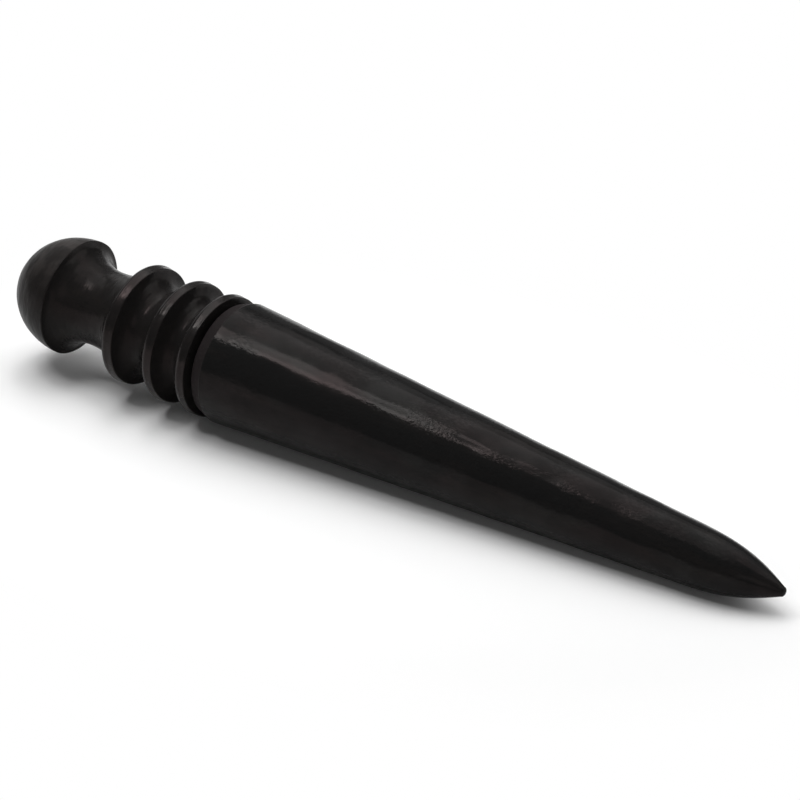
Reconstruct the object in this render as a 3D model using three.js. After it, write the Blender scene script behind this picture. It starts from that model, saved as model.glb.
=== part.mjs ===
// Leather edge burnisher with a round head, turned in one piece from dense black hardwood.
// Units are millimetres and +Z is up. The tool lies on its side, as it does on a bench: its
// straight taper rests on the bench, the round head is at -X and the blunt point at +X.
// The turned elements follow each other from the crown of the head to the point, and each
// length here belongs to one element.

import * as THREE from 'three';

// Round head: the end of an oval, cut off by a crisp edge just before its widest ring
const headLength = 13.2;
const headRadius = 12.05;
const headOvalHalfLength = 13.6;

// Neck: a long hollow that falls to a waist and climbs to the first bead
const neckFall = 7.3;
const neckClimb = 8.2;
const neckRadius = 7.9;

// Beads: a round shoulder faces the head and an edge faces the point, where the radius has
// dropped by the fall
const firstBead = { width: 2.85, radius: 12.4, shoulder: 1.2, fall: 0.2 };
const middleBead = { width: 2.7, radius: 12.6, shoulder: 1.3, fall: 0.15 };
const lastBead = { width: 2.7, radius: 12.6, shoulder: 1.3, fall: 0.1 };

// Coves: the hollows between the beads, which rub the edge of thick leather round
const wideCoveFall = 3.35;
const wideCoveClimb = 4.2;
const wideCoveRadius = 8.2;
const narrowCoveFall = 2.7;
const narrowCoveClimb = 2.9;
const narrowCoveRadius = 8.6;

// Slot: a narrow groove with a round bottom, which takes the edge of thin leather
const slotWidth = 1.3;
const slotRadius = 9;

// Body: a shallow chamfer after the slot, then a long straight taper
const bodyEndRadius = 11.55;
const chamferLength = 2.7;
const bodyRadius = 12.5;
const taperLength = 106.5;
const taperEndRadius = 6.05;

// Nose: leaves the taper in line with it and bends in to a small blunt tip
const noseLength = 20.3;
const noseHold = 9.3;
const noseDropLength = 6.9;
const noseDropRadius = 4.3;
const tipRadius = 1;
const tipLength = 0.6;

// How far from a turned corner its sides begin to round over
const edgeEase = 0.2;

// Flats round the work, an even number, so that one of them can face straight down
const flats = 48;

// Outline points are (radius, distance along the axis)
const at = (radius, along) => new THREE.Vector2(radius, along);
const corners = new Set();

function markCorner(point) {
  corners.add(point);
  return point;
}

// An arc of an ellipse from the crown to the edge of the head
function roundHead() {
  const edgeAngle = Math.asin(headLength / headOvalHalfLength - 1);
  const swell = headRadius / Math.cos(edgeAngle);
  const oval = new THREE.EllipseCurve(
    0, headOvalHalfLength, swell, headOvalHalfLength, -Math.PI / 2, edgeAngle);
  const points = oval.getPoints(12);
  markCorner(points.at(-1));
  return { length: headLength, points };
}

// Two quarters of ellipses that meet at the narrowest ring, each square to the axis where
// it runs into its wall
function hollow(wallRadius, fall, radius, climb, nextWallRadius) {
  const down = new THREE.EllipseCurve(
    wallRadius, fall, wallRadius - radius, fall, -Math.PI / 2, -Math.PI, true);
  const up = new THREE.EllipseCurve(
    nextWallRadius, fall, nextWallRadius - radius, climb, Math.PI, Math.PI / 2, true);
  return { length: fall + climb, points: [...down.getPoints(6), ...up.getPoints(6).slice(1)] };
}

// The wall of a bead on its side towards the head ends where the shoulder begins
const shoulderRadius = (bead) => bead.radius - bead.shoulder;
const edgeRadius = (bead) => bead.radius - bead.fall;

function beadBand(bead) {
  const shoulder = new THREE.EllipseCurve(
    shoulderRadius(bead), bead.shoulder, bead.shoulder, bead.shoulder, -Math.PI / 2, 0);
  const edge = markCorner(at(edgeRadius(bead), bead.width));
  return { length: bead.width, points: [...shoulder.getPoints(4), edge] };
}

function narrowSlot(wallRadius) {
  const half = slotWidth / 2;
  const bottom = new THREE.EllipseCurve(
    slotRadius + half, half, half, half, -Math.PI / 2, Math.PI / 2, true);
  const mouth = markCorner(at(bodyEndRadius, slotWidth));
  return { length: slotWidth, points: [at(wallRadius, 0), ...bottom.getPoints(4), mouth] };
}

function taperedBody() {
  const taperEnd = chamferLength + taperLength;
  const noseEnd = taperEnd + noseLength;
  const slope = (bodyRadius - taperEndRadius) / taperLength;
  const nose = new THREE.CubicBezierCurve(
    at(taperEndRadius, taperEnd),
    at(taperEndRadius - slope * noseHold, taperEnd + noseHold),
    at(noseDropRadius, noseEnd - noseDropLength),
    at(tipRadius, noseEnd));
  const tip = new THREE.EllipseCurve(0, noseEnd, tipRadius, tipLength, 0, Math.PI / 2);
  const points = [
    at(bodyEndRadius, 0),
    at(bodyRadius, chamferLength),
    ...nose.getPoints(10),
    ...tip.getPoints(3).slice(1),
  ];
  return { length: noseEnd + tipLength, points };
}

// Rounds each marked corner with a short curve between its two sides
function easeCorners(points) {
  const towards = (corner, neighbour) => {
    const reach = Math.min(edgeEase, corner.distanceTo(neighbour) / 2);
    return neighbour.clone().sub(corner).setLength(reach).add(corner);
  };
  return points.flatMap((point, index) => {
    if (!corners.has(point)) {
      return [point];
    }
    const arrive = towards(point, points[index - 1]);
    const leave = towards(point, points[index + 1]);
    return new THREE.QuadraticBezierCurve(arrive, point, leave).getPoints(2);
  });
}

// The elements before the body, in order. Each one begins at the ring where the last ended.
const elements = [
  roundHead(),
  hollow(headRadius, neckFall, neckRadius, neckClimb, shoulderRadius(firstBead)),
  beadBand(firstBead),
  hollow(
    edgeRadius(firstBead), wideCoveFall, wideCoveRadius, wideCoveClimb, shoulderRadius(middleBead)),
  beadBand(middleBead),
  hollow(
    edgeRadius(middleBead), narrowCoveFall, narrowCoveRadius, narrowCoveClimb, shoulderRadius(lastBead)),
  beadBand(lastBead),
  narrowSlot(edgeRadius(lastBead)),
];

const outline = [];
let reached = 0;

// Sets an element where the outline has got to. Its first point is already there, except on
// the crown of the head.
function addElement({ length, points }) {
  const fresh = outline.length === 0 ? points : points.slice(1);
  for (const point of fresh) {
    point.y += reached;
    outline.push(point);
  }
  reached += length;
}

elements.forEach(addElement);
const taperStart = reached + chamferLength;
addElement(taperedBody());
outline[0].x = 0;
outline.at(-1).x = 0;

// The outline is spun round the axis, and the axis is laid along X with a flat underneath
const halfFlat = Math.PI / flats;
const turning = new THREE.LatheGeometry(easeCorners(outline), flats, halfFlat);
turning.rotateZ(-Math.PI / 2);

const blackwood = new THREE.MeshStandardMaterial({ color: 0x1c1917, roughness: 0.38, metalness: 0 });
const burnisher = new THREE.Mesh(turning, blackwood);
burnisher.name = 'burnisher';

// The tool leans until the lowest flat of its taper lies level on the bench
const flatDepth = Math.cos(halfFlat);
const lean = Math.atan(flatDepth * (bodyRadius - taperEndRadius) / taperLength);
burnisher.rotation.y = lean;
burnisher.position.z = taperStart * Math.sin(lean) + flatDepth * bodyRadius * Math.cos(lean);

// The origin is on the bench, under the middle of the tool
const footprint = new THREE.Box3().setFromObject(burnisher, true);
burnisher.position.x = -(footprint.min.x + footprint.max.x) / 2;

const tool = new THREE.Group();
tool.add(burnisher);

export default tool;
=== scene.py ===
"""A leather edge burnisher with a round head, turned in one piece from black hardwood.

It lies on a white bench under soft light from above. The frame holds the solid of the tool. This
script spins the same outline as a fine round surface, adds the sag between the two ridges of each
bead and the small wander of hand work, and finishes it as waxed black wood.
"""

import math

import bpy
import numpy as np
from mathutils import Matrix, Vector


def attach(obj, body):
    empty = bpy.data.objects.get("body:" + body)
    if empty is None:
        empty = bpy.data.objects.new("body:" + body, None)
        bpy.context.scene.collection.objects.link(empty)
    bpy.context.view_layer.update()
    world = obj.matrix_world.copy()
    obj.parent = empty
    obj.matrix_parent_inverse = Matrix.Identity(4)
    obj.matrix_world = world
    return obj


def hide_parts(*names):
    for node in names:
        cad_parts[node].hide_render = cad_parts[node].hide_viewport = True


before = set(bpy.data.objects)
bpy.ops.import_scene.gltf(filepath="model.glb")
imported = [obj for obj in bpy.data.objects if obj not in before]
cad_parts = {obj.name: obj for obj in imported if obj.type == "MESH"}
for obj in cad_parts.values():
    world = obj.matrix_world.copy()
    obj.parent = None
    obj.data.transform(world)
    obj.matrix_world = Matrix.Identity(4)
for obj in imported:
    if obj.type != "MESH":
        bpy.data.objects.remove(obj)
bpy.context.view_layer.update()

# Lengths on the tool are in millimetres, and those of the scene in metres
MM = 0.001

# Round head: the end of an oval, cut off by a crisp edge just before its widest ring
HEAD_LENGTH = 13.2
HEAD_RADIUS = 12.05
HEAD_OVAL_HALF_LENGTH = 13.6

# Neck: a long hollow that falls to a waist and climbs to the first bead
NECK = {"fall": 7.3, "radius": 7.9, "climb": 8.2}

# Beads: a round shoulder faces the head and an edge faces the point
FIRST_BEAD = {"width": 2.85, "radius": 12.4, "shoulder": 1.2, "fall": 0.2}
MIDDLE_BEAD = {"width": 2.7, "radius": 12.6, "shoulder": 1.3, "fall": 0.15}
LAST_BEAD = {"width": 2.7, "radius": 12.6, "shoulder": 1.3, "fall": 0.1}

# The strip between the two ridges of a bead sags by this much
STRIP_SAG = 0.03

# Coves between the beads, and the narrow slot before the body
WIDE_COVE = {"fall": 3.35, "radius": 8.2, "climb": 4.2}
NARROW_COVE = {"fall": 2.7, "radius": 8.6, "climb": 2.9}
SLOT_WIDTH = 1.3
SLOT_RADIUS = 9

# Body: a shallow chamfer, a long straight taper, and a nose that bends in to a blunt tip
BODY_END_RADIUS = 11.55
CHAMFER_LENGTH = 2.7
BODY_RADIUS = 12.5
TAPER_LENGTH = 106.5
TAPER_END_RADIUS = 6.05
NOSE_LENGTH = 20.3
NOSE_HOLD = 9.3
NOSE_DROP_LENGTH = 6.9
NOSE_DROP_RADIUS = 4.3
TIP_RADIUS = 1
TIP_LENGTH = 0.6

# How far from a turned corner its sides begin to round over, and the reach in which the outline
# has no other points
EDGE_EASE = 0.2
CORNER_REACH = 1.2 * EDGE_EASE

# The leaning crown swells past its own end by this much, so the outline starts further in
CROWN_SWELL = 0.02

# Dents of the hand work: slow waves of these pitches, with up to this many turns round the tool,
# shallower where the tool is thinner than the full radius
DENT_DEPTH = 0.08
DENT_WAVES = 24
DENT_PITCHES = (9, 30)
DENT_TURNS = 9
DENT_SEED = 5
DENT_FULL_RADIUS = 6

# The head's edge is out of square by this share of its radius, towards this angle from the top.
# The wood within about the reach follows it.
HEAD_EDGE_TILT = 0.02
HEAD_TILT_ANGLE = math.radians(330)
HEAD_TILT_REACH = 5

# Points in each ring of the round surface
SPOKES = 160

# The frame's solid has this many flats. The round surface touches them from inside.
FRAME_FLATS = 48
FLAT_DEPTH = math.cos(math.pi / FRAME_FLATS)

# The taper rests on the bench along its lowest line
LEAN = math.atan(FLAT_DEPTH * (BODY_RADIUS - TAPER_END_RADIUS) / TAPER_LENGTH)

# The bench is a wide square, a hair below the tool
BENCH_HALF_SIDE = 6
BENCH_DROP = 0.02 * MM

# Camera: its lens, its angle above the bench and round the tool, and the pixel and distance at
# which it sees the middle of the body's end
LENS = 202.5
SENSOR = 36
IMAGE_SIDE = 800
CAMERA_ELEVATION = math.radians(27.5)
CAMERA_AZIMUTH = math.radians(36.95)
BODY_END_PIXEL = (227.45, 358.91)
BODY_END_DISTANCE = 883.9 * MM

# The level softboxes hang at this height, in a room that is much dimmer than they are
LAMP_HEIGHT = 0.6
ROOM_GLOW = 0.04


def quarter(count):
    """Angles of a quarter turn, in radians."""
    return np.linspace(0, math.pi / 2, count)


def straight(start, end, count):
    """Points on a straight line, closer together towards both ends."""
    share = (1 - np.cos(np.linspace(0, math.pi, count))) / 2
    start, end = np.array(start, float), np.array(end, float)
    return start + share[:, None] * (end - start)


def head_outline():
    """An arc of an ellipse from the crown to the edge of the head."""
    edge = math.asin(HEAD_LENGTH / HEAD_OVAL_HALF_LENGTH - 1)
    swell = HEAD_RADIUS / math.cos(edge)
    t = np.linspace(-math.pi / 2, edge, 60)
    return np.column_stack([HEAD_OVAL_HALF_LENGTH * (1 + np.sin(t)), swell * np.cos(t)])


def hollow_outline(wall, hollow, next_wall):
    """Two quarters of ellipses, square to the axis at the walls, that meet at the narrowest ring."""
    t = quarter(22)
    fall, radius, climb = hollow["fall"], hollow["radius"], hollow["climb"]
    down = np.column_stack([fall * (1 - np.cos(t)), wall - (wall - radius) * np.sin(t)])
    up = np.column_stack([fall + climb * np.sin(t), next_wall - (next_wall - radius) * np.cos(t)])
    return np.vstack([down, up[1:]])


def bead_outline(bead):
    """A quarter circle up to the first ridge, then a strip that falls evenly to the edge and sags
    in a parabola on the way."""
    shoulder = bead["shoulder"]
    t = quarter(14)
    rise = np.column_stack([shoulder * (1 - np.cos(t)), bead["radius"] - shoulder * (1 - np.sin(t))])
    share = np.linspace(0, 1, 13)
    strip = np.column_stack([
        shoulder + share * (bead["width"] - shoulder),
        bead["radius"] - share * bead["fall"] - 4 * STRIP_SAG * share * (1 - share),
    ])
    return np.vstack([rise, strip[1:]])


def slot_outline(wall):
    """A U: straight down one wall, half a circle at the bottom, straight up to the body's end."""
    half = SLOT_WIDTH / 2
    t = np.linspace(0, math.pi, 17)
    bottom = np.column_stack([half * (1 - np.cos(t)), SLOT_RADIUS + half * (1 - np.sin(t))])
    down = straight((0, wall), bottom[0], 6)
    up = straight(bottom[-1], (SLOT_WIDTH, BODY_END_RADIUS), 6)
    return np.vstack([down[:-1], bottom, up[1:]])


def body_outline():
    """The chamfer and the taper are straight, the nose is a cubic Bezier, the tip a quarter ellipse."""
    taper_end = CHAMFER_LENGTH + TAPER_LENGTH
    nose_end = taper_end + NOSE_LENGTH
    slope = (BODY_RADIUS - TAPER_END_RADIUS) / TAPER_LENGTH
    chamfer = straight((0, BODY_END_RADIUS), (CHAMFER_LENGTH, BODY_RADIUS), 8)
    taper = straight((CHAMFER_LENGTH, BODY_RADIUS), (taper_end, TAPER_END_RADIUS), 70)
    knots = np.array([
        (taper_end, TAPER_END_RADIUS),
        (taper_end + NOSE_HOLD, TAPER_END_RADIUS - slope * NOSE_HOLD),
        (nose_end - NOSE_DROP_LENGTH, NOSE_DROP_RADIUS),
        (nose_end, TIP_RADIUS),
    ])
    t = np.linspace(0, 1, 36)[:, None]
    nose = ((1 - t) ** 3 * knots[0] + 3 * t * (1 - t) ** 2 * knots[1]
            + 3 * t ** 2 * (1 - t) * knots[2] + t ** 3 * knots[3])
    t = quarter(9)
    tip = np.column_stack([nose_end + TIP_LENGTH * np.sin(t), TIP_RADIUS * np.cos(t)])
    return np.vstack([chamfer, taper[1:], nose[1:], tip[1:]])


def shoulder_wall(bead):
    """The radius at which a bead's shoulder begins."""
    return bead["radius"] - bead["shoulder"]


def edge_wall(bead):
    """The radius of a bead's edge."""
    return bead["radius"] - bead["fall"]


def ease_corner(outline, corner):
    """Cuts the outline back on both sides of the corner and bridges the gap with a parabola."""
    away = np.hypot(*(outline - corner).T)
    at = int(away.argmin())
    before, after = outline[:at], outline[at + 1:]
    before = before[np.hypot(*(before - corner).T) > CORNER_REACH]
    after = after[np.hypot(*(after - corner).T) > CORNER_REACH]
    arrive = corner + (before[-1] - corner) * EDGE_EASE / np.hypot(*(before[-1] - corner))
    leave = corner + (after[0] - corner) * EDGE_EASE / np.hypot(*(after[0] - corner))
    t = np.linspace(0, 1, 7)[:, None]
    bridge = (1 - t) ** 2 * arrive + 2 * t * (1 - t) * corner + t ** 2 * leave
    return np.vstack([before, bridge, after])


def tool_outline():
    """The whole outline as (along, radius) in millimetres, from the crown to the tip."""
    elements = [
        head_outline(),
        hollow_outline(HEAD_RADIUS, NECK, shoulder_wall(FIRST_BEAD)),
        bead_outline(FIRST_BEAD),
        hollow_outline(edge_wall(FIRST_BEAD), WIDE_COVE, shoulder_wall(MIDDLE_BEAD)),
        bead_outline(MIDDLE_BEAD),
        hollow_outline(edge_wall(MIDDLE_BEAD), NARROW_COVE, shoulder_wall(LAST_BEAD)),
        bead_outline(LAST_BEAD),
        slot_outline(edge_wall(LAST_BEAD)),
        body_outline(),
    ]
    # The head, the beads and the slot end in a corner
    corner_after = (0, 2, 4, 6, 7)
    outline = np.zeros((1, 2))
    corners = []
    for place, element in enumerate(elements):
        moved = element + [outline[-1, 0], 0]
        outline = np.vstack([outline, moved[1:]])
        if place in corner_after:
            corners.append(moved[-1])
    for corner in corners:
        outline = ease_corner(outline, corner)
    outline[-1, 1] = 0
    # The crown moves in and the tip stays
    outline[:, 0] = CROWN_SWELL + outline[:, 0] * (1 - CROWN_SWELL / outline[-1, 0])
    return outline


def hollow_length(hollow):
    """The length of a neck or cove along the axis."""
    return hollow["fall"] + hollow["climb"]


# The body starts after the head, the neck, the beads, the coves and the slot
BODY_START = (HEAD_LENGTH + hollow_length(NECK) + FIRST_BEAD["width"] + hollow_length(WIDE_COVE)
              + MIDDLE_BEAD["width"] + hollow_length(NARROW_COVE) + LAST_BEAD["width"] + SLOT_WIDTH)
TAPER_START = BODY_START + CHAMFER_LENGTH


def crown_place():
    """The head's end of the axis in the frame, in metres: the leaning tool is centred along X."""
    along, radius = tool_outline().T
    reach = along * math.cos(LEAN) + radius * FLAT_DEPTH * math.sin(LEAN)
    height = TAPER_START * math.sin(LEAN) + FLAT_DEPTH * BODY_RADIUS * math.cos(LEAN)
    return np.array([-reach.max() / 2, 0, height]) * MM


CROWN = crown_place()


def tool_place(along, side, up):
    """Takes the tool's own axes, in millimetres, to the frame in metres: turned by the lean."""
    x = along * math.cos(LEAN) + up * math.sin(LEAN)
    z = up * math.cos(LEAN) - along * math.sin(LEAN)
    return CROWN + np.stack([x, side + 0 * x, z], axis=-1) * MM


def hand_dents(along, angle):
    """How far the surface lies below the true round: many sine waves that wind round the tool,
    each with its own pitch, number of turns and start, added and held within the dent depth."""
    draw = np.random.default_rng(DENT_SEED)
    total = 0
    for _ in range(DENT_WAVES):
        pitch = draw.uniform(*DENT_PITCHES)
        turns = draw.integers(-DENT_TURNS, DENT_TURNS + 1)
        start = draw.uniform(0, 2 * math.pi)
        total = total + np.sin(2 * math.pi * along / pitch + turns * angle + start)
    return DENT_DEPTH * (1 + np.tanh(total / math.sqrt(DENT_WAVES))) / 2


def head_tilt(along, radius, angle):
    """The head's edge leans out of square by a cosine of the angle, and its neighbours follow in a
    bell curve of the distance from it."""
    nearness = np.exp(-((along - HEAD_LENGTH) / HEAD_TILT_REACH) ** 2)
    return HEAD_EDGE_TILT * nearness * radius * np.cos(angle - HEAD_TILT_ANGLE)


def turned_vertices():
    """The outline spun round the axis: (radius sin a, radius cos a) at each distance along. The
    crown and the tip come last."""
    outline = tool_outline()
    angle = np.arange(SPOKES) * 2 * math.pi / SPOKES
    along, radius = outline[1:-1, :1], outline[1:-1, 1:] * FLAT_DEPTH
    turned = radius - hand_dents(along, angle) * np.clip(radius / DENT_FULL_RADIUS, 0, 1)
    moved = along + head_tilt(along, radius, angle)
    rings = tool_place(moved, turned * np.sin(angle), turned * np.cos(angle))
    ends = tool_place(outline[[0, -1], 0], 0, 0)
    return np.vstack([rings.reshape(-1, 3), ends])


def turned_faces(vertex_count):
    """Squares from each ring to the next, and a fan of triangles that closes each end."""
    crown, tip = vertex_count - 2, vertex_count - 1
    last_ring = crown - SPOKES
    ring = np.arange(0, last_ring, SPOKES)[:, None]
    spoke = np.arange(SPOKES)
    after = (spoke + 1) % SPOKES
    squares = np.stack([ring + spoke, ring + after, ring + SPOKES + after, ring + SPOKES + spoke], axis=-1)
    crown_fan = np.stack([np.full(SPOKES, crown), after, spoke], axis=-1)
    tip_fan = np.stack([np.full(SPOKES, tip), last_ring + spoke, last_ring + after], axis=-1)
    return squares.reshape(-1, 4).tolist() + crown_fan.tolist() + tip_fan.tolist()


def make_burnisher():
    """The whole tool as one smooth surface."""
    vertices = turned_vertices()
    mesh = bpy.data.meshes.new("turned_burnisher")
    mesh.from_pydata(vertices, [], turned_faces(len(vertices)))
    mesh.shade_smooth()
    mesh.update()
    mesh.materials.append(black_hardwood())
    piece = bpy.data.objects.new("turned_burnisher", mesh)
    bpy.context.scene.collection.objects.link(piece)
    return piece


def add_node(tree, kind, inputs, **settings):
    """Adds a node. Its inputs are set to values or linked to the sockets given."""
    made = tree.nodes.new(kind)
    for name, value in settings.items():
        setattr(made, name, value)
    for name, value in inputs.items():
        if isinstance(value, bpy.types.NodeSocket):
            tree.links.new(value, made.inputs[name])
        else:
            made.inputs[name].default_value = value
    return made


def new_material(name):
    """An empty node material with its shader and tree."""
    material = bpy.data.materials.new(name)
    material.use_nodes = True
    return material, material.node_tree, material.node_tree.nodes["Principled BSDF"]


def noise(tree, place, stretch, size, detail, roughness=0.5):
    """Noise whose features are about size millimetres, made longer along each axis by stretch."""
    scaled = add_node(tree, "ShaderNodeVectorMath", {0: place, 1: [1 / each for each in stretch]},
                      operation="MULTIPLY")
    made = add_node(tree, "ShaderNodeTexNoise", {
        "Vector": scaled.outputs["Vector"], "Scale": 1 / size, "Detail": detail, "Roughness": roughness})
    return made.outputs["Fac"]


def ranged(tree, value, low, high, to_low, to_high):
    """Value stretched from low..high to to_low..to_high in an S curve."""
    made = add_node(tree, "ShaderNodeMapRange", {
        "Value": value, "From Min": low, "From Max": high, "To Min": to_low, "To Max": to_high},
        interpolation_type="SMOOTHSTEP")
    return made.outputs["Result"]


def blend(tree, share, first, second):
    """A colour between the first and the second."""
    # A Mix node's colour sockets share their names with others, so they are picked by number
    made = add_node(tree, "ShaderNodeMix", {"Factor": share}, data_type="RGBA")
    for socket, value in ((made.inputs[6], first), (made.inputs[7], second)):
        if isinstance(value, bpy.types.NodeSocket):
            tree.links.new(value, socket)
        else:
            socket.default_value = (*value, 1)
    return made.outputs[2]


def sum_of(tree, first, second, weight):
    """First + second x weight."""
    made = add_node(tree, "ShaderNodeMath", {0: second, 1: weight, 2: first}, operation="MULTIPLY_ADD")
    return made.outputs["Value"]


def product(tree, first, second):
    """First x second."""
    return add_node(tree, "ShaderNodeMath", {0: first, 1: second}, operation="MULTIPLY").outputs["Value"]


def wood_zones(tree, tool):
    """Shares from 0 to 1 that pick out parts of the tool by distance along it, height above its
    axis and distance from its axis, all in millimetres. The crests are the outermost wood of the
    head end past the head's own edge."""
    apart = add_node(tree, "ShaderNodeSeparateXYZ", {"Vector": tool}).outputs
    along, up = apart["X"], apart["Z"]
    across = add_node(tree, "ShaderNodeVectorMath", {0: tool, 1: (0, 1, 1)}, operation="MULTIPLY")
    radius = add_node(tree, "ShaderNodeVectorMath", {0: across.outputs["Vector"]}, operation="LENGTH")

    ease = 0.5
    body = ranged(tree, along, BODY_START - ease, BODY_START + ease, 0, 1)
    head_end = ranged(tree, along, BODY_START - ease, BODY_START + ease, 1, 0)
    before_taper = ranged(tree, along, TAPER_START - 0.3, TAPER_START + 0.25, 1, 0)
    past_head = ranged(tree, along, HEAD_LENGTH + 5, HEAD_LENGTH + 6, 0, 1)
    outermost = ranged(tree, radius.outputs["Value"], 11.7, 12.1, 0, 1)
    return {
        "body": body,
        "head_end": head_end,
        "dome": ranged(tree, along, HEAD_LENGTH - ease, HEAD_LENGTH + 0.3, 1, 0),
        "chamfer": product(tree, body, before_taper),
        "crests": product(tree, product(tree, head_end, past_head), outermost),
        "top": ranged(tree, up, 3, 11, 0, 1),
    }


def wood_colour(tree, tool, zone, pores):
    """Near black with a brown figure along the grain and fine pores. The head end and the chamfer
    are browner, and a painted sheen, lighter where the light from above falls, lies in blotches on top of
    the dome."""
    figure = ranged(tree, noise(tree, tool, (18, 1, 1), 3.2, 4, 0.6), 0.45, 0.7, 0, 1)
    wood = blend(tree, figure, (0.0106, 0.0105, 0.0105), (0.0138, 0.0126, 0.0122))
    wood = blend(tree, product(tree, zone["head_end"], 0.35), wood, (0.0160, 0.0136, 0.0129))
    wood = blend(tree, pores, wood, (0.0086, 0.0084, 0.0083))
    wood = blend(tree, zone["chamfer"], wood, (0.0175, 0.0148, 0.0152))
    # Painted sheen: the top of the dome is made lighter in blotches, as if lit from above
    blotches = ranged(tree, noise(tree, tool, (1, 1, 1), 4.5, 3), 0.4, 0.6, 0.2, 1)
    painted_top_sheen = product(tree, product(tree, zone["top"], blotches), zone["dome"])
    return blend(tree, painted_top_sheen, wood, (0.0320, 0.0285, 0.0272))


def wax_tint(tree, tool):
    """Reflections that are warmer in patches, which are longer along the grain."""
    patches = ranged(tree, noise(tree, tool, (2.5, 1, 1), 7, 3), 0.34, 0.58, 0, 1)
    return blend(tree, patches, (1.0, 0.95, 0.92), (1.0, 0.76, 0.75))


def wax_shine(tree, tool, zone, sheen, worn):
    """How strongly the wax reflects: unevenly, with bright specks in the worn patches, weaker on
    the chamfer and stronger on the crests of the beads, where hands and leather polish it."""
    specks = ranged(tree, noise(tree, tool, (1.5, 1, 1), 0.5, 2), 0.45, 0.65, 0, 1)
    shine = ranged(tree, sheen, 0.38, 0.62, 0.049, 0.074)
    shine = sum_of(tree, shine, product(tree, worn, specks), 0.035)
    shine = sum_of(tree, shine, zone["chamfer"], -0.03)
    return sum_of(tree, shine, zone["crests"], 0.07)


def wax_roughness(tree, zone, sheen, turning):
    """How blurred the reflections are. The unevenness is drawn out round the work by the turning
    on the head end, and slow on the body. The chamfer and the dome are the dullest."""
    polish = sum_of(tree, product(tree, sheen, zone["body"]), turning, zone["head_end"])
    roughness = ranged(tree, polish, 0.38, 0.62, 0.09, 0.18)
    roughness = sum_of(tree, roughness, zone["chamfer"], 0.45)
    roughness = sum_of(tree, roughness, zone["head_end"], 0.08)
    return sum_of(tree, roughness, zone["dome"], 0.15)


def wood_relief(tree, tool, zone, pores, turning, worn):
    """Heights added up as shares of the bump distance: scuffs in the worn patches, soft lumps and
    ripples drawn out round the head end, fine turned lines that are faint on the dome, and pores."""
    scuffs = noise(tree, tool, (1.6, 1, 1), 0.5, 2)
    lumps = noise(tree, tool, (1, 2.2, 2.2), 2, 2)
    lines = noise(tree, tool, (1, 12, 12), 0.6, 1)
    lined = sum_of(tree, zone["head_end"], zone["dome"], -0.8)
    height = product(tree, product(tree, scuffs, worn), 3)
    height = sum_of(tree, height, product(tree, turning, zone["head_end"]), 2)
    height = sum_of(tree, height, product(tree, lumps, zone["head_end"]), 8)
    height = sum_of(tree, height, product(tree, lines, lined), 3)
    height = sum_of(tree, height, pores, -0.05)
    bump = add_node(tree, "ShaderNodeBump", {"Height": height, "Strength": 1.0, "Distance": 0.02 * MM})
    return bump.outputs["Normal"]


def black_hardwood():
    """Dense near-black wood, waxed and polished by use, with the grain along the tool."""
    material, tree, shader = new_material("black_hardwood")
    coordinates = add_node(tree, "ShaderNodeTexCoord", {})
    # The tool's own axes in millimetres, from the crown
    tool = add_node(tree, "ShaderNodeMapping", {
        "Vector": coordinates.outputs["Object"], "Location": CROWN, "Rotation": (0, LEAN, 0),
        "Scale": (MM, MM, MM)}, vector_type="TEXTURE").outputs["Vector"]

    zone = wood_zones(tree, tool)
    pores = ranged(tree, noise(tree, tool, (9, 1, 1), 0.28, 2), 0.28, 0.36, 1, 0)
    sheen = noise(tree, tool, (1.5, 1, 1), 5, 2)
    turning = noise(tree, tool, (1, 3, 3), 1.1, 2)
    wear = ranged(tree, noise(tree, tool, (1.6, 1, 1), 8, 2), 0.43, 0.58, 0.1, 0.8)
    worn = product(tree, wear, zone["body"])

    finish = {
        "Base Color": wood_colour(tree, tool, zone, pores),
        "Specular Tint": wax_tint(tree, tool),
        "Specular IOR Level": wax_shine(tree, tool, zone, sheen, worn),
        "Roughness": wax_roughness(tree, zone, sheen, turning),
        "Normal": wood_relief(tree, tool, zone, pores, turning, worn),
    }
    for name, socket in finish.items():
        tree.links.new(socket, shader.inputs[name])
    return material


def white_bench():
    """Matt white that keeps the shadow near the tool and turns to even white further out."""
    material, tree, shader = new_material("white_bench")
    shader.inputs["Base Color"].default_value = (0.98, 0.98, 0.98, 1)
    shader.inputs["Roughness"].default_value = 1
    shader.inputs["Specular IOR Level"].default_value = 0

    # Distance from the origin as a share of this oval, in metres. The bench starts to turn white
    # at the first share and is all white at the second.
    oval = (0.19, 0.13, 1)
    turning_white, all_white = 0.42, 0.62
    coordinates = add_node(tree, "ShaderNodeTexCoord", {})
    reach = add_node(tree, "ShaderNodeMapping", {
        "Vector": coordinates.outputs["Object"], "Scale": oval}, vector_type="TEXTURE").outputs["Vector"]
    distance = add_node(tree, "ShaderNodeVectorMath", {0: reach}, operation="LENGTH").outputs["Value"]
    far = ranged(tree, distance, turning_white, all_white, 0, 1)

    path = add_node(tree, "ShaderNodeLightPath", {}).outputs
    seen = sum_of(tree, path["Is Camera Ray"], path["Is Glossy Ray"], 1)
    seen = sum_of(tree, seen, path["Is Transmission Ray"], 1)
    glow = add_node(tree, "ShaderNodeEmission", {"Color": (1, 1, 1, 1), "Strength": 1})
    mixed = add_node(tree, "ShaderNodeMixShader", {
        0: product(tree, far, seen), 1: shader.outputs["BSDF"], 2: glow.outputs["Emission"]})
    tree.links.new(mixed.outputs["Shader"], tree.nodes["Material Output"].inputs["Surface"])
    return material


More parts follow.
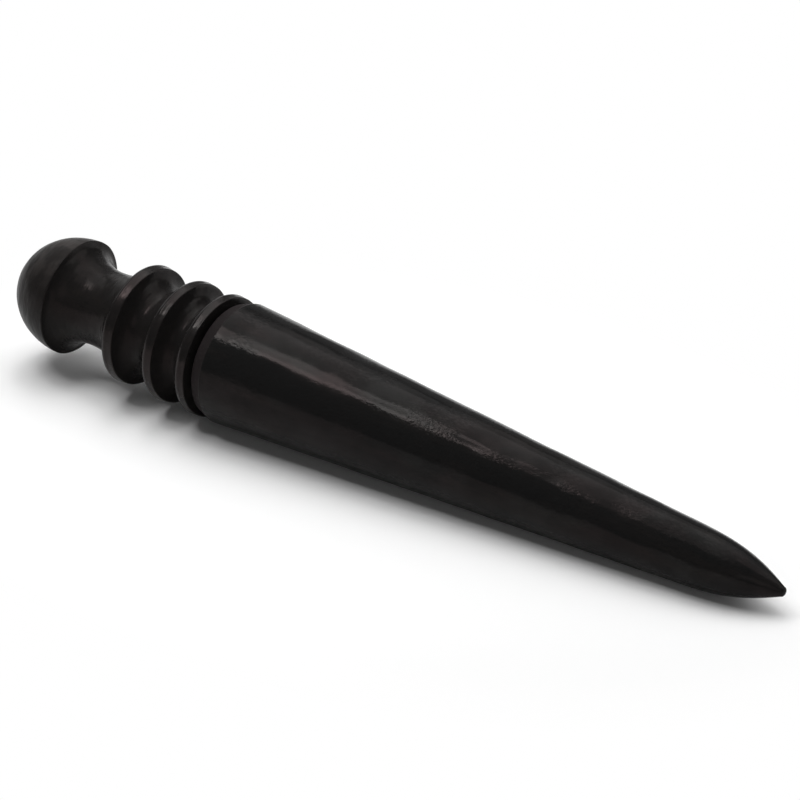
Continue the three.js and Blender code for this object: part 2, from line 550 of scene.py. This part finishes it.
def make_bench():
    """A flat square round the origin."""
    half = BENCH_HALF_SIDE
    corners = [(x, y, -BENCH_DROP) for x, y in ((-half, -half), (half, -half), (half, half), (-half, half))]
    mesh = bpy.data.meshes.new("bench")
    mesh.from_pydata(corners, [], [(0, 1, 2, 3)])
    mesh.materials.append(white_bench())
    bench = bpy.data.objects.new("bench", mesh)
    bpy.context.scene.collection.objects.link(bench)
    return bench


def make_camera():
    """A long lens that sees the middle of the body's end at its pixel, from its distance."""
    camera_data = bpy.data.cameras.new("camera")
    camera_data.lens = LENS
    camera_data.sensor_width = SENSOR
    camera_data.clip_start = 0.05
    camera_data.clip_end = 20
    camera = bpy.data.objects.new("camera", camera_data)
    bpy.context.scene.collection.objects.link(camera)
    camera.rotation_euler = (math.pi / 2 - CAMERA_ELEVATION, 0, CAMERA_AZIMUTH)
    focal_pixels = LENS / SENSOR * IMAGE_SIDE
    middle = (IMAGE_SIDE - 1) / 2
    ray = np.array([BODY_END_PIXEL[0] - middle, middle - BODY_END_PIXEL[1], -focal_pixels])
    ray = np.array(camera.rotation_euler.to_matrix()) @ (ray / np.linalg.norm(ray))
    body_end = tool_place(np.float64(BODY_START), 0, 0)
    camera.location = body_end - ray * BODY_END_DISTANCE
    bpy.context.scene.camera = camera


def softbox(name, place, target, width, height, glow):
    """A rectangular lamp at place that faces target. Glow is the brightness of its face: 1 is white."""
    lamp_data = bpy.data.lights.new(name, "AREA")
    lamp_data.shape = "RECTANGLE"
    lamp_data.size = width
    lamp_data.size_y = height
    lamp_data.energy = glow * math.pi * width * height
    lamp = bpy.data.objects.new(name, lamp_data)
    lamp.visible_camera = False
    lamp.location = place
    lamp.rotation_euler = (Vector(place) - Vector(target)).to_track_quat("Z", "Y").to_euler()
    bpy.context.scene.collection.objects.link(lamp)


def hang_softbox(name, over, width, depth, glow):
    """A softbox that hangs level over a place on the bench."""
    softbox(name, (*over, LAMP_HEIGHT), (*over, 0), width, depth, glow)


def stand_softbox(name, place, width, height, glow):
    """A softbox that faces the middle of the tool from the side."""
    softbox(name, place, (0, 0, 0), width, height, glow)


def light_bench():
    """Level softboxes overhead, which the wax mirrors as streaks along the tool, and standing ones
    further off, which light its sides. Each has its place, its two sizes and its glow."""
    hang_softbox("overhead_left", (-0.3, 0.23), 0.4, 0.54, 2.1)
    hang_softbox("overhead_right", (0.1, 0.23), 0.4, 0.54, 1.65)
    hang_softbox("overhead_back", (-0.1, 0.7), 0.8, 0.4, 0.7)
    hang_softbox("back_spot", (-0.125, 0.14), 0.15, 0.12, 6.3)
    hang_softbox("left_strip", (-0.21, 0.11), 0.07, 0.46, 9.0)
    hang_softbox("front_strip", (-0.275, -0.1), 0.15, 0.2, 7.0)
    hang_softbox("front_strip_end", (-0.275, -0.24), 0.15, 0.08, 14.0)
    hang_softbox("front_fill", (-0.05, -0.16), 0.3, 0.24, 1.3)
    stand_softbox("back_wall", (-0.75, 0.95, 0.3), 1.8, 0.5, 0.15)
    stand_softbox("window", (0.68, 0.57, 0.45), 0.6, 0.7, 1.8)
    stand_softbox("left_wall", (-0.95, 0.45, 0.45), 1.0, 0.5, 0.7)
    stand_softbox("front_wall", (0.52, -0.74, 0.42), 0.6, 0.4, 0.85)


def make_room():
    """An even grey room."""
    world = bpy.data.worlds.new("room")
    world.use_nodes = True
    world.node_tree.nodes["Background"].inputs["Color"].default_value = (ROOM_GLOW, ROOM_GLOW, ROOM_GLOW, 1)
    bpy.context.scene.world = world


make_camera()
burnisher = make_burnisher()
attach(burnisher, "root")
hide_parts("burnisher")
make_bench()

light_bench()
make_room()
bpy.context.scene.view_settings.view_transform = "Standard"
